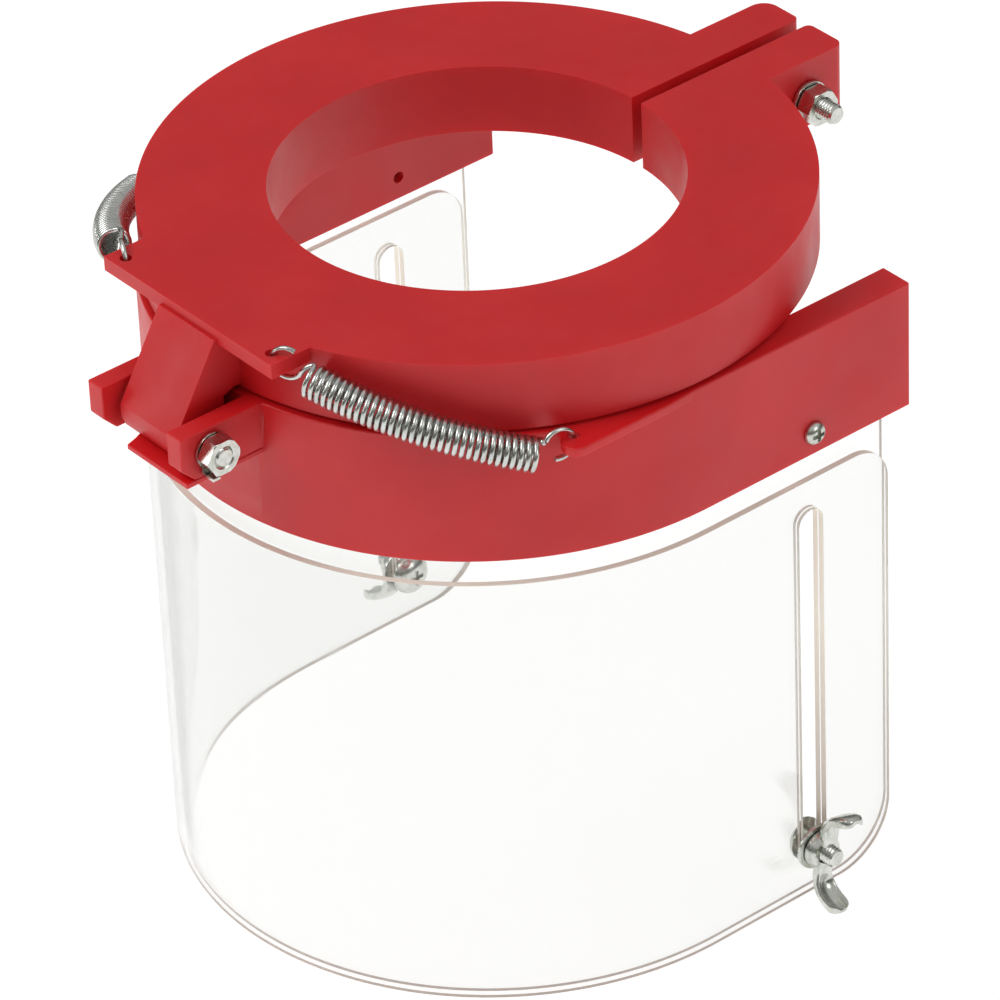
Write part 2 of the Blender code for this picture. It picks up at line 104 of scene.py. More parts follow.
# Bent tab of the hinge washer, from the axis: its two sides in Y, its faces in Z, its outer end in X
TAB_SIDES = (-3.8, -1.4)
TAB_FACES = (-6.4, -5.6)
TAB_END = 25.6

# Bracket
BRACKET_TOP = -22.2
BRACKET_BOTTOM = -62.2
BRACKET_SIDE = 94.4
BRACKET_WALL = 10.5
LEG_END = 73.1
EAR_BOTTOM = -36.7
LIP_THICKNESS = 1.6
# Y inside the band's wall, where the ears and the lip start
BAND_ROOT = -90.0
LIP_OUTLINE = (
    (EAR_OUTER, BAND_ROOT),
    (EAR_OUTER, -118.4),
    (-6.0, -118.4),
    (-7.0, -115.0),
    (-9.0, -110.5),
    (-12.0, -105.0),
    (-13.0, BAND_ROOT),
)
LUG_PLATE = 2.8
LUG_OUTLINE = (
    (88.0, -5.0),
    (94.4, -5.0),
    (95.0, -14.0),
    (95.0, -43.0),
    (94.2, -45.4),
    (91.6, -46.8),
    (88.8, -46.2),
    (85.2, -43.4),
    (78.0, -40.0),
)
LUG_HOLE = (88.6, -41.4)
GROOVE_TOP = -45.5
LEG_SCREW = (37.7, -55.0)
LEG_SCREW_RADIUS = 1.45
LEG_SCREW_HOLE_RADIUS = 1.8

# Shields
SHEET = 2.0
OUTER_SHIELD_RADIUS = 94.9
INNER_SHIELD_RADIUS = 92.5
SHIELD_END = 64.4
# The left legs of both shields lean inwards by this much, from this Y to the bend's end
LEFT_INSET = 3.5
INSET_START = -60.0
OUTER_TOP = -69.6
OUTER_BOTTOM = -210.2
INNER_TOP = -46.0
INNER_BOTTOM = -209.2
CENTRE_Y = -0.5
SLOT_Y = 36.0
SLOT_HALF_WIDTH = 4.4
SLOT_TOP = -79.6
SLIDE_SCREW_Z = -194.5
SLOT_BOTTOM = SLIDE_SCREW_Z - SLOT_HALF_WIDTH - 0.3
BOTTOM_CORNER = 19.0
OUTER_TOP_CORNER = 12.0
SLIDE_TIP = 104.2

# Fasteners
THREAD_RADIUS = 3.0
THREAD_PITCH = 1.0
THREAD_DEPTH = 0.5
NUT_CORNER_RADIUS = 5.75
NUT_HEIGHT = 5.0
WASHER_RADIUS = 6.0
SLIDE_WASHER_RADIUS = 7.0
WASHER_THICKNESS = 1.2
HEAD_HEIGHT = 4.0
CLAMP_TIP = 29.0
FIT = 0.3

# Springs: one entry for each side, the pairs from the flange's end to the bracket's end
WIRE_RADIUS = 0.75
COIL_RADIUS = 4.3
COIL_STEPS = 22
COIL_TURNS = {-1: 33, 1: 34}
COIL_STANDOFFS = {-1: (7.2, 7.2), 1: (5.6, 7.4)}
COIL_ANGLES = {-1: (-62.0, -31.0), 1: (-66.1, -31.0)}
COIL_HEIGHTS = {-1: (-5.8, -21.8), 1: (-6.2, -25.0)}
HOOK_RADIUS = 4.5

CIRCLE = 192
OVERRUN = 5.0
SETBACK = 0.002
BEVEL_ANGLE = 28
THREAD_SHARP_ANGLE = 28
# A face of a sheet is its sawn edge where the cosine of its normal to the way across is below this
EDGE_COSINE = 0.9
FLOOR_DROP = 112.0
FLOOR_HALF = 3000.0
FLOOR_THICKNESS = 20.0

# Camera: where it looks, from which side, how far and how rolled
VIEW_TARGET = (43.71, -31.52, -70.48)
VIEW_AZIMUTH = 51.536
VIEW_ELEVATION = 34.641
VIEW_ROLL = -2.474
VIEW_DISTANCE = 1866.0
LENS = 247.05


# ---------------------------------------------------------------- shapes

def arc(centre_x, centre_y, radius, start, end, steps):
    """Points of a circular arc from start to end, in degrees."""
    angles = [math.radians(start + (end - start) * i / steps) for i in range(steps + 1)]
    return [(centre_x + radius * math.cos(a), centre_y + radius * math.sin(a)) for a in angles]


def circle(radius, steps, centre=(0.0, 0.0)):
    return arc(centre[0], centre[1], radius, 0, 360, steps)[:-1]


def prism(outline, low, high, axis="Z"):
    """A closed bmesh: the outline extruded along an axis. X outlines are (y, z), Z outlines are (x, y)."""
    shape = bmesh.new()
    if axis == "Z":
        points = [Vector((u, v, low)) for u, v in outline]
        travel = Vector((0, 0, high - low))
    else:
        points = [Vector((low, u, v)) for u, v in outline]
        travel = Vector((high - low, 0, 0))
    base = shape.faces.new([shape.verts.new(p * MM) for p in points])
    result = bmesh.ops.extrude_face_region(shape, geom=[base])
    moved = [item for item in result["geom"] if isinstance(item, bmesh.types.BMVert)]
    bmesh.ops.translate(shape, vec=travel * MM, verts=moved)
    bmesh.ops.recalc_face_normals(shape, faces=shape.faces)
    return shape


def skin(rings):
    """A closed bmesh through rings of points (millimetres), with flat ends."""
    shape = bmesh.new()
    loops = [[shape.verts.new(Vector(p) * MM) for p in ring] for ring in rings]
    count = len(loops[0])
    for first, second in zip(loops, loops[1:]):
        for i in range(count):
            j = (i + 1) % count
            shape.faces.new((first[i], first[j], second[j], second[i]))
    shape.faces.new(loops[0])
    shape.faces.new(loops[-1])
    bmesh.ops.recalc_face_normals(shape, faces=shape.faces)
    return shape


def turned(profile, axis_point, steps=64):
    """A closed bmesh: (x, radius) profile turned about the line along X through axis_point (y, z)."""
    return skin([[(x, y, z) for y, z in circle(r, steps, axis_point)] for x, r in profile])


def rod(radius, low, high, axis_point, steps=64):
    return turned([(low, radius), (high, radius)], axis_point, steps)


def thread(start, end, axis_point, steps=48):
    """A threaded rod along X: its surface rises and falls as a helix, and it tapers off at the end."""
    direction = math.copysign(1, end - start)
    length = abs(end - start)
    rows = max(2, round(length / THREAD_PITCH * 10))
    rings = []
    for row in range(rows + 1):
        x = length * row / rows
        taper = max(0.0, x - (length - 0.9)) * 0.7
        ring = []
        for i in range(steps):
            turn = i / steps
            phase = (x / THREAD_PITCH - turn) % 1.0
            rise = abs(phase - 0.5) * 2
            depth = THREAD_DEPTH * min(1.0, max(0.0, rise * 1.25 - 0.1))
            r = THREAD_RADIUS - max(depth, taper)
            a = 2 * math.pi * turn
            y = axis_point[0] + r * math.cos(a)
            z = axis_point[1] + r * math.sin(a)
            ring.append((start + direction * x, y, z))
        rings.append(ring)
    return skin(rings)


def solid(name, shape):
    mesh = bpy.data.meshes.new(name)
    shape.to_mesh(mesh)
    shape.free()
    part = bpy.data.objects.new(name, mesh)
    bpy.context.scene.collection.objects.link(part)
    return part


def bake_modifiers(part):
    """Replace the mesh by its evaluated form, so no helper object is needed any more."""
    graph = bpy.context.evaluated_depsgraph_get()
    mesh = bpy.data.meshes.new_from_object(part.evaluated_get(graph))
    old = part.data
    part.modifiers.clear()
    part.data = mesh
    bpy.data.meshes.remove(old)
    mesh.name = part.name


def combine(part, operation, shapes):
    """Join or cut the part with each closed shape in turn."""
    tools = [solid(f"{part.name}_tool", shape) for shape in shapes]
    for tool in tools:
        step = part.modifiers.new(operation.lower(), "BOOLEAN")
        step.operation = operation
        step.solver = "EXACT"
        step.object = tool
    bake_modifiers(part)
    for tool in tools:
        bpy.data.objects.remove(tool, do_unlink=True)


def soften(part, width, segments=3):
    """Round the sharp edges a little and keep the flat faces flat in shading."""
    clean = part.modifiers.new("clean", "WELD")
    clean.merge_threshold = 0.00001
    bevel = part.modifiers.new("edges", "BEVEL")
    bevel.width = width * MM
    bevel.segments = segments
    bevel.limit_method = "ANGLE"
    bevel.angle_limit = math.radians(BEVEL_ANGLE)
    bake_modifiers(part)
    level_normals(part, 42)
    return part


def level_normals(part, angle=30):
    """Smooth shading in which the large faces keep their own direction."""
    part.data.shade_smooth()
    part.data.set_sharp_from_angle(angle=math.radians(angle))
    weighted = part.modifiers.new("normals", "WEIGHTED_NORMAL")
    weighted.keep_sharp = True
    weighted.weight = 60
    bake_modifiers(part)


def smooth(part, angle=35):
    part.data.shade_smooth()
    part.data.set_sharp_from_angle(angle=math.radians(angle))
    return part


def place(part, body, slot, finish, *nodes):
    """Give the piece its finish and body, and let it stand for its CAD nodes."""
    if not part.data.materials:
        part.data.materials.append(finish)
    else:
        part.data.materials[0] = finish
    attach(part, body)
    if nodes:
        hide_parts(*nodes)


# ---------------------------------------------------------------- materials

class Graph:
    """A material's node tree with short calls for adding and linking nodes."""

    def __init__(self, name):
        self.material = bpy.data.materials.new(name)
        self.material.use_nodes = True
        self.tree = self.material.node_tree
        self.shader = self.tree.nodes["Principled BSDF"]

    def node(self, kind, **values):
        made = self.tree.nodes.new(kind)
        for key, value in values.items():
            if key in made.inputs:
                made.inputs[key].default_value = value
            else:
                setattr(made, key, value)
        return made

    def link(self, source, target):
        self.tree.links.new(source, target)

    def noise(self, scale, detail=3.0, roughness=0.5):
        """Noise in object space; scale counts features per metre."""
        where = self.node("ShaderNodeTexCoord")
        made = self.node("ShaderNodeTexNoise", Scale=scale, Detail=detail, Roughness=roughness)
        self.link(where.outputs["Object"], made.inputs["Vector"])
        return made.outputs["Fac"]

    def spread(self, source, low, high, out_low, out_high):
        made = self.node("ShaderNodeMapRange")
        made.inputs["From Min"].default_value = low
        made.inputs["From Max"].default_value = high
        made.inputs["To Min"].default_value = out_low
        made.inputs["To Max"].default_value = out_high
        self.link(source, made.inputs["Value"])
        return made.outputs["Result"]

    def mix(self, factor, first, second):
        made = self.node("ShaderNodeMix", data_type="RGBA")
        self.link(factor, made.inputs["Factor"])
        for index, value in ((6, first), (7, second)):
            if isinstance(value, tuple):
                made.inputs[index].default_value = (*value, 1.0)
            else:
                self.link(value, made.inputs[index])
        return made.outputs[2]

    def bump(self, height, strength, distance):
        made = self.node("ShaderNodeBump", Strength=strength, Distance=distance)
        self.link(height, made.inputs["Height"])
        self.link(made.outputs["Normal"], self.shader.inputs["Normal"])


def red_plastic():
    """Satin moulded plastic: cloudy colour, a fine grain, faint scuffs and light under the surface."""
    g = Graph("red_plastic")
    cloud = g.spread(g.noise(28, 5), 0.35, 0.65, 0, 1)
    base = g.mix(cloud, (0.60, 0.006, 0.010), (0.66, 0.012, 0.016))
    scuff = g.spread(g.noise(420, 6, 0.7), 0.66, 0.78, 0, 0.3)
    g.link(g.mix(scuff, base, (0.68, 0.09, 0.09)), g.shader.inputs["Base Color"])
    g.link(g.spread(g.noise(60, 4), 0.3, 0.7, 0.36, 0.52), g.shader.inputs["Roughness"])
    g.bump(g.noise(1500, 2), 0.08, 0.0002)
    g.shader.inputs["Subsurface Weight"].default_value = 0.35
    g.shader.inputs["Subsurface Radius"].default_value = (1.0, 0.12, 0.08)
    g.shader.inputs["Subsurface Scale"].default_value = 0.006
    return g.material


def clear_sheet():
    """Clear polycarbonate with a faint warm tint and the haze of handling."""
    g = Graph("clear_sheet")
    haze = g.noise(45, 5, 0.6)
    g.link(g.spread(haze, 0.35, 0.75, 0.0, 0.05), g.shader.inputs["Roughness"])
    g.shader.inputs["Base Color"].default_value = (0.952, 0.955, 0.948, 1)
    g.shader.inputs["IOR"].default_value = 1.42
    g.shader.inputs["Transmission Weight"].default_value = 1.0
    return g.material


def sheet_edge():
    """The sheet's sawn edge: pale and warm near the top, darker towards the bottom with painted shade,
    slightly matt, with a faint painted glow.
    """
    g = Graph("sheet_edge")
    along = g.spread(g.noise(60, 4, 0.6), 0.35, 0.65, 0, 1)
    pale = g.mix(along, (0.97, 0.93, 0.82), (0.96, 0.92, 0.84))
    where = g.node("ShaderNodeTexCoord")
    split = g.node("ShaderNodeSeparateXYZ")
    g.link(where.outputs["Object"], split.inputs["Vector"])
    # Painted shade: the edge colour darkens from pale to a dim pinkish grey towards the bottom of the sheet
    rise = g.spread(split.outputs["Z"], -0.208, -0.12, 0, 1)
    g.link(g.mix(rise, (0.42, 0.34, 0.31), pale), g.shader.inputs["Base Color"])
    g.link(g.spread(g.noise(300, 3), 0.3, 0.7, 0.3, 0.4), g.shader.inputs["Roughness"])
    g.bump(g.noise(1200, 2), 0.04, 0.0001)
    g.shader.inputs["IOR"].default_value = 1.42
    g.shader.inputs["Transmission Weight"].default_value = 0.12
    # Painted glow: a weak warm emission lights the edge as if light were gathered inside the sheet
    g.shader.inputs["Emission Color"].default_value = (1.0, 0.86, 0.70, 1)
    g.shader.inputs["Emission Strength"].default_value = 0.12
    return g.material


def steel(name, bright, dark, rough, grain):
    """Bright plated steel with a slightly uneven polish."""
    g = Graph(name)
    spots = g.noise(grain, 5, 0.6)
    g.link(g.mix(g.spread(spots, 0.35, 0.7, 0, 1), bright, dark), g.shader.inputs["Base Color"])
    polish = g.spread(g.noise(grain * 2, 2), 0.3, 0.7, rough - 0.04, rough + 0.06)
    g.link(polish, g.shader.inputs["Roughness"])
    g.bump(g.noise(grain * 3, 2), 0.02, 0.0001)
    g.shader.inputs["Metallic"].default_value = 1.0
    return g.material


RED = red_plastic()
CLEAR = clear_sheet()
EDGE = sheet_edge()
ZINC = steel("zinc_steel", (0.70, 0.71, 0.67), (0.52, 0.54, 0.48), 0.24, 320)
WIRE = steel("spring_steel", (0.66, 0.67, 0.65), (0.50, 0.51, 0.48), 0.24, 260)


# ---------------------------------------------------------------- red mouldings

def u_outline(radius, thickness, end):
    """Plan outline of a U-shaped wall, open towards +Y."""
    inside = radius - thickness
    outer = arc(0, CENTRE_Y, radius, 180, 360, CIRCLE // 2)
    inner = arc(0, CENTRE_Y, inside, 360, 180, CIRCLE // 2)
    return [(-radius, end)] + outer + [(radius, end), (inside, end)] + inner + [(-inside, end)]


def sheet_outline(radius, thickness, end):
    """Plan outline of a shield or of its groove: a U whose left leg eases inwards."""
    outline = []
    for x, y in u_outline(radius, thickness, end):
        t = min(1.0, max(0.0, (y - INSET_START) / (CENTRE_Y - INSET_START)))
        inset = LEFT_INSET * t * t * (3 - 2 * t) if x < 0 else 0.0
        outline.append((x + inset, y))
    return outline


def beside(side, distance):
    """X of a point on the shields' fastenings: the left ones follow the left leg inwards."""
    return distance if side > 0 else LEFT_INSET - distance


def collar_outline():
    """Split ring with its two clamp lugs, in plan."""
    gap_angle = math.degrees(math.asin(GAP_HALF_WIDTH / BORE_RADIUS))
    lug_angle = math.degrees(math.asin(LUG_SIDE / COLLAR_RADIUS))
    gap_x = GAP_HALF_WIDTH + GAP_CORNER
    gap_y = LUG_END - GAP_CORNER
    right, left = LUG_CORNERS[1], LUG_CORNERS[-1]
    outline = arc(gap_x, gap_y, GAP_CORNER, 180, 90, 8)
    outline += arc(LUG_SIDE - right, LUG_END - right, right, 90, 0, 10)
    outline += arc(0, 0, COLLAR_RADIUS, 90 - lug_angle, lug_angle - 270, CIRCLE)
    outline += arc(left - LUG_SIDE, LUG_END - left, left, 180, 90, 10)
    outline += arc(-gap_x, gap_y, GAP_CORNER, 90, 0, 8)
    return outline + arc(0, 0, BORE_RADIUS, gap_angle - 270, 90 - gap_angle, CIRCLE)


def clamp_collar():
    collar = solid("collar", prism(collar_outline(), -COLLAR_HEIGHT, 0))
    left, right = FLANGE_SIDES
    flange = [(left, FLANGE_FRONT), (right, FLANGE_FRONT), (right, FLANGE_ROOT), (left, FLANGE_ROOT)]
    combine(collar, "UNION", [
        prism(flange, -FLANGE_THICKNESS, 0),
        prism(ARM_PROFILE, -ARM_SIDE, ARM_SIDE, "X"),
    ])
    reach = LUG_SIDE + OVERRUN
    holes = [
        rod(HINGE_HOLE_RADIUS, -reach, reach, HINGE_AXIS),
        rod(THREAD_RADIUS + FIT, -reach, reach, CLAMP_AXIS),
    ]
    for centre in FLANGE_HOLES.values():
        holes.append(prism(circle(SPRING_HOLE_RADIUS, 32, centre), -FLANGE_THICKNESS - OVERRUN, OVERRUN))
    combine(collar, "DIFFERENCE", holes)
    soften(collar, 0.45)
    place(collar, "clamp", "red_plastic", RED, "clamp_collar")


def rounded(shape, width=0.5):
    """The closed shape with its edges rounded, ready to be joined to others."""
    block = soften(solid("block", shape), width)
    result = bmesh.new()
    result.from_mesh(block.data)
    bpy.data.objects.remove(block, do_unlink=True)
    return result


def hinge_bracket():
    band = prism(u_outline(BRACKET_SIDE, BRACKET_WALL, LEG_END), BRACKET_BOTTOM, BRACKET_TOP)
    bracket = solid("bracket", rounded(band))
    ear = [
        (BAND_ROOT, BRACKET_TOP),
        (EAR_FRONT, BRACKET_TOP),
        (EAR_FRONT, -32.2),
        (-115.4, EAR_BOTTOM),
        (BAND_ROOT, EAR_BOTTOM),
    ]
    additions = [rounded(prism(LIP_OUTLINE, EAR_BOTTOM - LIP_THICKNESS, EAR_BOTTOM + SETBACK), 0.3)]
    for side in (-1, 1):
        low, high = sorted((side * EAR_INNER, side * EAR_OUTER))
        additions.append(rounded(prism(ear, low, high, "X")))
        spring_lug = [(side * x, y) for x, y in LUG_OUTLINE]
        additions.append(rounded(prism(spring_lug, BRACKET_TOP - LUG_PLATE, BRACKET_TOP - SETBACK)))
    combine(bracket, "UNION", additions)
    groove = sheet_outline(INNER_SHIELD_RADIUS + FIT, SHEET + 2 * FIT, SHIELD_END + FIT)
    reach = EAR_OUTER + OVERRUN
    seat_radius = HINGE_HEAD_RADIUS + FIT
    seat = [
        (-reach, seat_radius),
        (-EAR_OUTER, seat_radius),
        (-EAR_OUTER + seat_radius - HINGE_HOLE_RADIUS, HINGE_HOLE_RADIUS),
        (reach, HINGE_HOLE_RADIUS),
    ]
    cuts = [prism(groove, BRACKET_BOTTOM - OVERRUN, GROOVE_TOP), turned(seat, HINGE_AXIS)]
    leg_outer = BRACKET_SIDE + OVERRUN
    leg_inner = BRACKET_SIDE - BRACKET_WALL - OVERRUN
    for side in (-1, 1):
        cuts.append(rod(LEG_SCREW_HOLE_RADIUS, side * leg_inner, side * leg_outer, LEG_SCREW, 32))
        outline = circle(SPRING_HOLE_RADIUS, 32, (side * LUG_HOLE[0], LUG_HOLE[1]))
        cuts.append(prism(outline, BRACKET_TOP - LUG_PLATE - OVERRUN, BRACKET_TOP + OVERRUN))
    combine(bracket, "DIFFERENCE", cuts)
    level_normals(bracket)
    place(bracket, "guard", "red_plastic", RED, "hinge_bracket")


# ---------------------------------------------------------------- clear shields

def side_profile(top, bottom, corner_top, reach):
    """Side view (y, z) of a shield: it keeps what lies inside, with its back corners rounded."""
    outline = [(-reach, bottom), (-reach, top)]
    if corner_top:
        outline += arc(SHIELD_END - corner_top, top - corner_top, corner_top, 90, 0, 24)
    else:
        outline += [(SHIELD_END, top)]
    return outline + arc(SHIELD_END - BOTTOM_CORNER, bottom + BOTTOM_CORNER, BOTTOM_CORNER, 0, -90, 24)


def slot_outline():
    upper = arc(SLOT_Y, SLOT_TOP - SLOT_HALF_WIDTH, SLOT_HALF_WIDTH, 0, 180, 24)
    lower = arc(SLOT_Y, SLOT_BOTTOM + SLOT_HALF_WIDTH, SLOT_HALF_WIDTH, 180, 360, 24)
    return upper + lower


def outward(point):
    """Direction across the sheet at a point of it, in plan (metres)."""
    if point.y > CENTRE_Y * MM:
        return Vector((math.copysign(1, point.x), 0, 0))
    return Vector((point.x, point.y - CENTRE_Y * MM, 0)).normalized()


def shield(name, node, body, radius, top, bottom, corner_top):
    reach = radius + OVERRUN
    sheet = solid(name, prism(sheet_outline(radius, SHEET, SHIELD_END), bottom, top))
    outline = side_profile(top + SETBACK, bottom - SETBACK, corner_top, reach)
    combine(sheet, "INTERSECT", [prism(outline, -reach, reach, "X")])
    holes = [prism(slot_outline(), -reach, reach, "X")]
    if top > LEG_SCREW[1]:
        holes.append(rod(LEG_SCREW_HOLE_RADIUS, -reach, reach, LEG_SCREW, 32))
    combine(sheet, "DIFFERENCE", holes)
    soften(sheet, 0.45, 2)
    place(sheet, body, "clear_sheet", CLEAR, node)
    sheet.data.materials.append(EDGE)
    for face in sheet.data.polygons:
        if abs(face.normal.dot(outward(face.center))) < EDGE_COSINE:
            face.material_index = 1
    sheet.visible_shadow = False


# ---------------------------------------------------------------- fasteners

def hex_shape(low, high, axis_point, both_ends=True):
    """A hexagon prism along X whose corners are turned down at its ends."""
    body = solid("hexagon", prism(circle(NUT_CORNER_RADIUS, 6, axis_point), low, high, "X"))
    flat = NUT_CORNER_RADIUS * 0.9
    turn = 0.45
    far = NUT_CORNER_RADIUS + 0.1
    profile = [(low, flat), (low + turn, far), (high - turn, far), (high, flat)]
    if not both_ends:
        profile[2:] = [(high, far)]
    combine(body, "INTERSECT", [turned(profile, axis_point, 96)])
    return body


def hex_nut(name, node, body, low, high, axis_point):
    nut = hex_shape(low, high, axis_point)
    nut.name = name
    bore = THREAD_RADIUS - 0.2
    mouth = THREAD_RADIUS + 0.45
    profile = [
        (low - OVERRUN, mouth),
        (low, mouth),
        (low + 0.6, bore),
        (high - 0.6, bore),
        (high, mouth),
        (high + OVERRUN, mouth),
    ]
    combine(nut, "DIFFERENCE", [turned(profile, axis_point)])
    soften(nut, 0.16, 2)
    place(nut, body, "zinc_steel", ZINC, node)


def washer(name, node, body, low, high, radius, axis_point, tab=()):
    low, high = sorted((low, high))
    plate = solid(name, prism(circle(radius, 72, axis_point), low, high, "X"))
    if tab:
        combine(plate, "UNION", tab)
    combine(plate, "DIFFERENCE", [rod(THREAD_RADIUS + FIT, low - OVERRUN, high + OVERRUN, axis_point)])
    soften(plate, 0.2, 2)
    place(plate, body, "zinc_steel", ZINC, node)


def clamp_bolt():
    face = -(LUG_SIDE + FIT + WASHER_THICKNESS + FIT)
    head = hex_shape(face - HEAD_HEIGHT, face, CLAMP_AXIS, both_ends=False)
    head.name = "clamp_bolt_head"
    soften(head, 0.16, 2)
    place(head, "clamp", "zinc_steel", ZINC, "clamp_bolt")
    shank = solid("clamp_bolt_thread", thread(face - 1, CLAMP_TIP, CLAMP_AXIS))
    smooth(shank, THREAD_SHARP_ANGLE)
    place(shank, "clamp", "zinc_steel", ZINC)


def hinge_bolt():
    face = -EAR_OUTER
    profile = [
        (face, HINGE_HEAD_RADIUS - 0.15),
        (face + 0.15, HINGE_HEAD_RADIUS),
        (face + HINGE_HEAD_RADIUS - THREAD_RADIUS, THREAD_RADIUS),
        (EAR_OUTER, THREAD_RADIUS),
    ]
    shank = solid("hinge_bolt_shank", turned(profile, HINGE_AXIS))
    combine(shank, "DIFFERENCE", [cross_recess(face, -1, HINGE_AXIS, 2.6, 0.75, 1.6)])
    smooth(shank)
    place(shank, "guard", "zinc_steel", ZINC, "hinge_bolt")
    end = solid("hinge_bolt_thread", thread(EAR_OUTER - 0.5, HINGE_TIP, HINGE_AXIS))
    smooth(end, THREAD_SHARP_ANGLE)
    place(end, "guard", "zinc_steel", ZINC)


def cross_recess(face, side, axis_point, reach, half_width, depth):
    """A cross-shaped recess cut inwards from a screw's end face; side is the way the face looks along X."""
    outline = []
    for quarter in range(4):
        a = math.radians(90 * quarter)
        for u, v in ((reach, -half_width), (reach, half_width), (half_width, half_width)):
            y = u * math.cos(a) - v * math.sin(a)
            z = u * math.sin(a) + v * math.cos(a)
            outline.append((axis_point[0] + y, axis_point[1] + z))
    low, high = sorted((face - side * depth, face + side * OVERRUN))
    return prism(outline, low, high, "X")


def leg_screw(label, side):
    face = BRACKET_SIDE + 0.2
    profile = [
        (face + 2.2, 0.8),
        (face + 2.1, 1.7),
        (face + 1.7, 2.5),
        (face + 1.2, 3.05),
        (face + 0.5, 3.4),
        (face, 3.4),
        (face, LEG_SCREW_RADIUS),
        (BRACKET_SIDE - BRACKET_WALL + 2.5, LEG_SCREW_RADIUS),
    ]
    screw = solid(f"leg_screw_{label}_fine", turned([(side * x, r) for x, r in profile], LEG_SCREW, 48))
    combine(screw, "DIFFERENCE", [cross_recess(side * (face + 2.2), side, LEG_SCREW, 2.1, 0.62, 1.8)])
    smooth(screw, 40)
    place(screw, "guard", "zinc_steel", ZINC, f"leg_screw_{label}")


def slide_screw(label, side):
    """Round-head screw from inside the inner shield; its threaded end carries the wing nut."""
    face = INNER_SHIELD_RADIUS - SHEET - FIT
    axis_point = (SLOT_Y, SLIDE_SCREW_Z)
    profile = [
        (face - 3.8, 1.6),
        (face - 3.6, 2.8),
        (face - 3.1, 4.2),
        (face - 2.3, 5.2),
        (face - 1.2, 5.95),
        (face - 0.4, 6.2),
        (face, 6.2),
        (face, THREAD_RADIUS),
        (face + 2, THREAD_RADIUS),
    ]
    head = solid(f"slide_screw_{label}_head", turned([(beside(side, x), r) for x, r in profile], axis_point))
    combine(head, "DIFFERENCE", [cross_recess(beside(side, face - 3.8), -side, axis_point, 2.4, 0.6, 1.6)])
    smooth(head, 40)
    place(head, "guard", "zinc_steel", ZINC, f"slide_screw_{label}")
    helix = thread(beside(side, face + 1), beside(side, SLIDE_TIP), axis_point)
    end = solid(f"slide_screw_{label}_thread", helix)
    smooth(end, THREAD_SHARP_ANGLE)
    place(end, "guard", "zinc_steel", ZINC)


# One wing: its middle line as (distance from the axis, height), its thickness and its half width there
WING_LINE = (
    (2.5, 2.7, 4.4, 2.5),
    (5.0, 2.7, 4.4, 2.6),
    (7.4, 2.9, 4.0, 2.73),
    (9.4, 3.9, 3.7, 3.22),
    (11.2, 5.6, 3.5, 3.63),
    (12.5, 7.8, 3.8, 3.7),
    (13.2, 9.7, 4.2, 3.7),
    (13.6, 11.1, 4.1, 3.5),
    (13.8, 12.1, 3.4, 2.9),
    (13.9, 12.7, 2.2, 1.85),
)
WING_LEAN = 12
HUB_RADIUS = 5.6
HUB_TOP_RADIUS = 4.6
HUB_HEIGHT = 3.4


def wing(origin, side, direction, steps=28):
    """One wing: a blade swept along its middle line, rounded at its sides and dished on its inner face."""
    lean = math.radians(WING_LEAN)
    along = Vector((0, math.sin(lean), math.cos(lean))) * direction
    across = Vector((0, math.cos(lean), -math.sin(lean)))
    rings = []
    for i, (r, h, thickness, half_width) in enumerate(WING_LINE):
        before, after = WING_LINE[max(i - 1, 0)], WING_LINE[min(i + 1, len(WING_LINE) - 1)]
        slope = Vector((after[0] - before[0], after[1] - before[1])).normalized()
        centre = origin + along * r + Vector((side * h, 0, 0))
        inward = Vector((side * slope.x, 0, 0)) - along * slope.y
        dish = 0.6 * min(1.0, max(0.0, (r - 6) / 3))
        ring = []
        for k in range(steps):
            a = 2 * math.pi * k / steps
            u = math.copysign(abs(math.cos(a)) ** 0.6, math.cos(a))
            v = math.copysign(abs(math.sin(a)) ** 0.6, math.sin(a))
            if v > 0:
                v *= 1 - 2 * dish * (1 - u * u)
            ring.append(centre + across * (u * half_width) + inward * (v * thickness / 2))
        rings.append(ring)
    return skin(rings)


def wing_nut(label, side):
    axis_point = (SLOT_Y, SLIDE_SCREW_Z)
    base = OUTER_SHIELD_RADIUS + WASHER_THICKNESS + 2 * FIT
    hub = [
        (beside(side, base), HUB_RADIUS),
        (beside(side, base + 1.5), HUB_RADIUS),
        (beside(side, base + HUB_HEIGHT), HUB_TOP_RADIUS),
    ]
    nut = solid(f"wing_nut_{label}_fine", turned(hub, axis_point, 48))
    origin = Vector((beside(side, base), *axis_point))
    combine(nut, "UNION", [wing(origin, side, turn) for turn in (-1, 1)])
    start, end = beside(side, base - OVERRUN), beside(side, base + HUB_HEIGHT + OVERRUN)
    bore = rod(THREAD_RADIUS + 0.06, start, end, axis_point, 48)
    combine(nut, "DIFFERENCE", [bore])
    smooth(nut, 40)
    place(nut, f"wing_{label}", "zinc_steel", ZINC, f"wing_nut_{label}")


# ---------------------------------------------------------------- springs

def between(pair, t):
    return pair[0] + (pair[1] - pair[0]) * t


def spring_holes(side):
    """Middles of the two holes that a spring hooks into: the flange's and the bracket lug's."""
    flange = Vector((*FLANGE_HOLES[side], -FLANGE_THICKNESS / 2))
    return flange, Vector((side * LUG_HOLE[0], LUG_HOLE[1], BRACKET_TOP - LUG_PLATE / 2))


def spring_axis(side, count):
    """The coil's middle line, an arc round the collar that drops towards the bracket."""
    line = []
    for i in range(count):
        t = i / (count - 1)
        a = math.radians(between(COIL_ANGLES[side], t))
        radius = COLLAR_RADIUS + between(COIL_STANDOFFS[side], t)
        height = between(COIL_HEIGHTS[side], t)
        line.append(Vector((side * radius * math.cos(a), radius * math.sin(a), height)))
    return line


